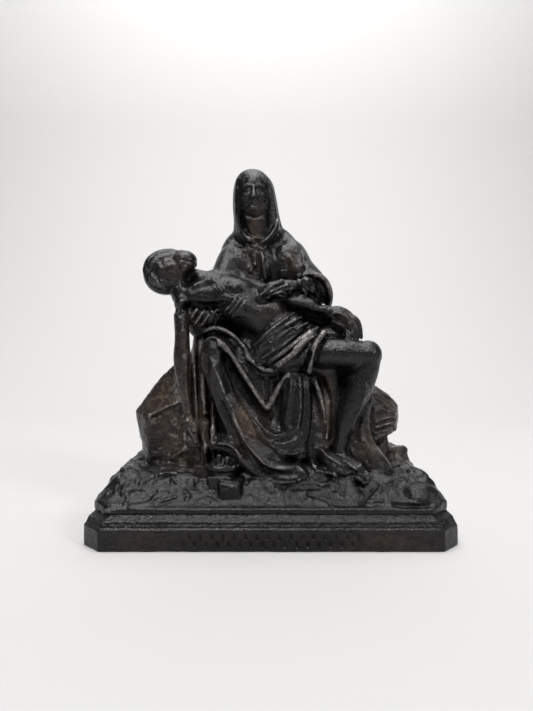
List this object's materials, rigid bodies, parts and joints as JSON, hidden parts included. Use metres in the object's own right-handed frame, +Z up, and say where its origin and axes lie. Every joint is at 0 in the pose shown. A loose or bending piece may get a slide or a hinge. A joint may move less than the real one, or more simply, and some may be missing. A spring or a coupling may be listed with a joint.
{
  "type": "pieta statuette",
  "caption": "Small cast statuette of a seated veiled mother with her dead son across her lap, among rocks on a moulded plinth with cut corners.",
  "frame": {"origin": "middle of the flat underside of the plinth", "axes": "+Z up, -Y out of the inscribed front, +X to the viewer's right when the front is faced"},
  "size_m": [0.12, 0.062, 0.13],
  "materials": {
    "black_patina": "thin, uneven black patina on cast white metal, satin, rubbed to brown and tan on the raised folds and rocks"
  },
  "bodies": {
    "root": {"pieta_casting": "black_patina"}
  },
  "joints": []
}
